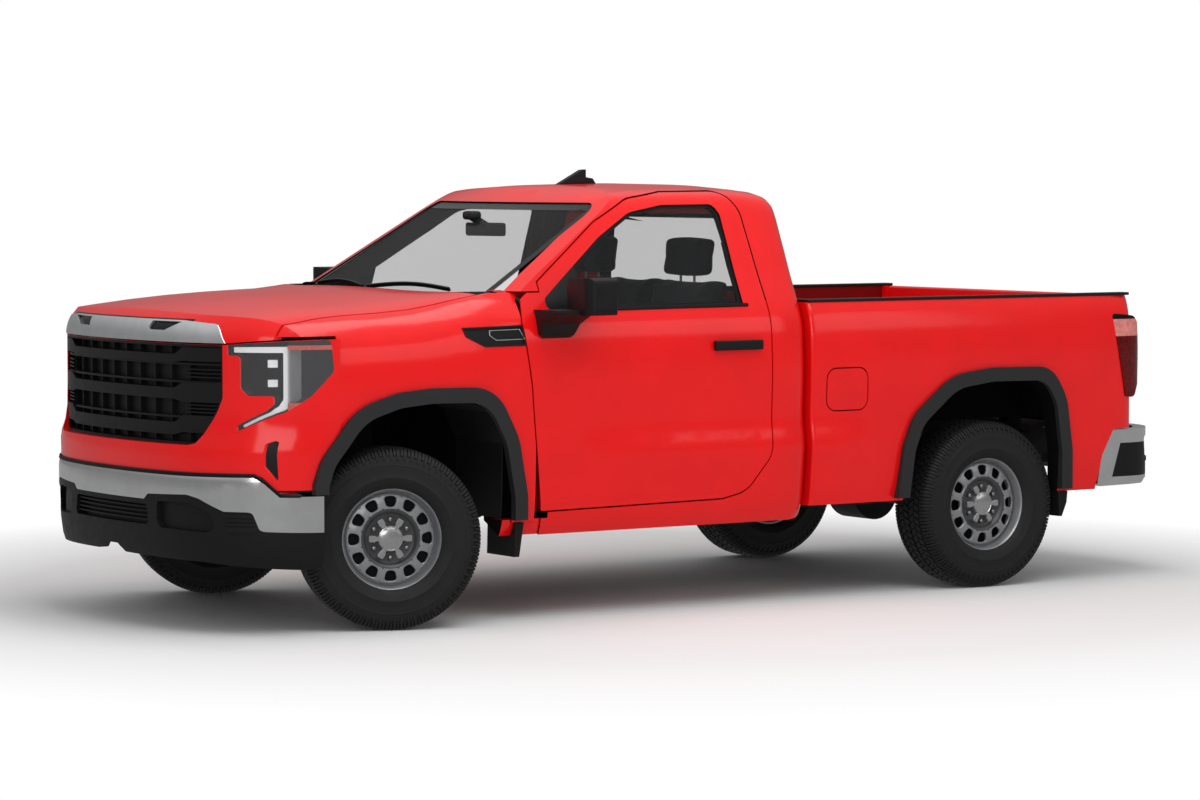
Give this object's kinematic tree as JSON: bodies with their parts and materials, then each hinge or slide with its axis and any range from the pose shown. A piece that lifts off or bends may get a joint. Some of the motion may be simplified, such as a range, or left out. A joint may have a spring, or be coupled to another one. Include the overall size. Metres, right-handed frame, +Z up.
{
  "type": "pickup truck",
  "caption": "Regular-cab pickup truck with an open load box, opening doors, hood, tailgate and fuel door, steered front wheels and a hollow cab with a bench seat.",
  "frame": {"origin": "centre of the overall box, on the ground", "axes": "-Y towards the nose, +X towards the driver's side of a left-hand-drive truck, +Z up"},
  "size_m": [2.4634, 5.3402, 1.9819],
  "materials": {
    "body_red": "bright gloss red coat with a clear layer",
    "chrome": "polished chrome",
    "black_plastic": "grained matte black",
    "window_glass": "clear, lightly tinted",
    "lamp_clear": "clear lens",
    "lamp_light": "glossy white light guide",
    "gloss_black": "glossy black lamp housing",
    "lamp_red": "glossy red lens",
    "tyre": "matte black rubber",
    "wheel_steel": "silver-grey paint on steel",
    "chassis": "satin black coat",
    "seat_fabric": "dark woven cloth",
    "interior_plastic": "dark grained plastic"
  },
  "bodies": {
    "body": {"arch_trims": "black_plastic", "bench_seat": "seat_fabric", "box_caps": "black_plastic", "box_floor": "body_red", "box_sides": "body_red", "bumper_steps": "black_plastic", "cab_shell": "body_red", "cowl_panel": "black_plastic", "dashboard": "interior_plastic", "engine_block": "chassis", "exhaust": "chassis", "fender_vents": "black_plastic", "fenders": "body_red", "frame_rails": "chassis", "front_bumper": "chrome", "front_fascia": "body_red", "front_suspension": "chassis", "front_valance": "black_plastic", "fuel_tank": "chassis", "grille": "black_plastic", "headlamp_housings": "gloss_black", "headlamp_lenses": "lamp_clear", "headlamp_lights": "lamp_light", "leaf_springs": "chassis", "rear_axle": "chassis", "rear_bumper": "chrome", "rear_window": "window_glass", "roof_fin": "black_plastic", "spare_wheel": "chassis", "tail_lamps": "lamp_red", "wheel_liners": "black_plastic", "windshield": "window_glass"},
    "knuckle_left": {"knuckle_left": "chassis"},
    "knuckle_right": {"knuckle_right": "chassis"},
    "wheel_front_left": {"rim_front_left": "wheel_steel", "tyre_front_left": "tyre"},
    "wheel_front_right": {"rim_front_right": "wheel_steel", "tyre_front_right": "tyre"},
    "wheel_rear_left": {"rim_rear_left": "wheel_steel", "tyre_rear_left": "tyre"},
    "wheel_rear_right": {"rim_rear_right": "wheel_steel", "tyre_rear_right": "tyre"},
    "door_left": {"door_left": "body_red", "door_glass_left": "window_glass", "mirror_left": "black_plastic", "door_handle_left": "black_plastic"},
    "door_right": {"door_right": "body_red", "door_glass_right": "window_glass", "mirror_right": "black_plastic", "door_handle_right": "black_plastic"},
    "hood": {"hood": "body_red", "hood_trim": "chrome"},
    "tailgate": {"tailgate": "body_red"},
    "fuel_door": {"fuel_door": "body_red"},
    "steering_wheel": {"steering_wheel": "interior_plastic"}
  },
  "joints": [
    {"name": "steer_left", "type": "hinge", "parent": "body", "child": "knuckle_left", "pos_m": [0.7635, -1.715, 0.3945], "axis": [0, 0, 1], "range_deg": [-14, 54]},
    {"name": "steer_right", "type": "hinge", "parent": "body", "child": "knuckle_right", "pos_m": [-0.7635, -1.715, 0.3945], "axis": [0, 0, 1], "range_deg": [-14, 54]},
    {"name": "spin_front_left", "type": "hinge", "parent": "knuckle_left", "child": "wheel_front_left", "pos_m": [0.86217, -1.75091, 0.3945], "axis": [0.9397, -0.342, 0], "continuous": true},
    {"name": "spin_front_right", "type": "hinge", "parent": "knuckle_right", "child": "wheel_front_right", "pos_m": [-0.86217, -1.67909, 0.3945], "axis": [-0.9397, 0.342, 0], "continuous": true},
    {"name": "spin_rear_left", "type": "hinge", "parent": "body", "child": "wheel_rear_left", "pos_m": [0.8685, 1.498, 0.3945], "axis": [1, 0, 0], "continuous": true},
    {"name": "spin_rear_right", "type": "hinge", "parent": "body", "child": "wheel_rear_right", "pos_m": [-0.8685, 1.498, 0.3945], "axis": [-1, 0, 0], "continuous": true},
    {"name": "door_left_hinge", "type": "hinge", "parent": "body", "child": "door_left", "pos_m": [0.981, -1.01489, 1], "axis": [0, 0, -1], "range_deg": [0, 65]},
    {"name": "door_right_hinge", "type": "hinge", "parent": "body", "child": "door_right", "pos_m": [-0.981, -1.01489, 1], "axis": [0, 0, 1], "range_deg": [0, 65]},
    {"name": "hood_hinge", "type": "hinge", "parent": "body", "child": "hood", "pos_m": [0, -1.2459, 1.34573], "axis": [-1, 0, 0], "range_deg": [0, 45]},
    {"name": "tailgate_hinge", "type": "hinge", "parent": "body", "child": "tailgate", "pos_m": [0, 2.36551, 0.834], "axis": [-1, 0, 0], "range_deg": [0, 88]},
    {"name": "fuel_door_hinge", "type": "hinge", "parent": "body", "child": "fuel_door", "pos_m": [0.98721, 0.57206, 0.96904], "axis": [0, 0, -1], "range_deg": [0, 85]},
    {"name": "steering_wheel_turn", "type": "hinge", "parent": "body", "child": "steering_wheel", "pos_m": [0.43, -0.78161, 1.22794], "axis": [0, 0.922, 0.3872], "range_deg": [-540, 540]}
  ],
  "couplings": [
    {"joint": "steer_right", "follows": "steer_left", "ratio": 1}
  ]
}
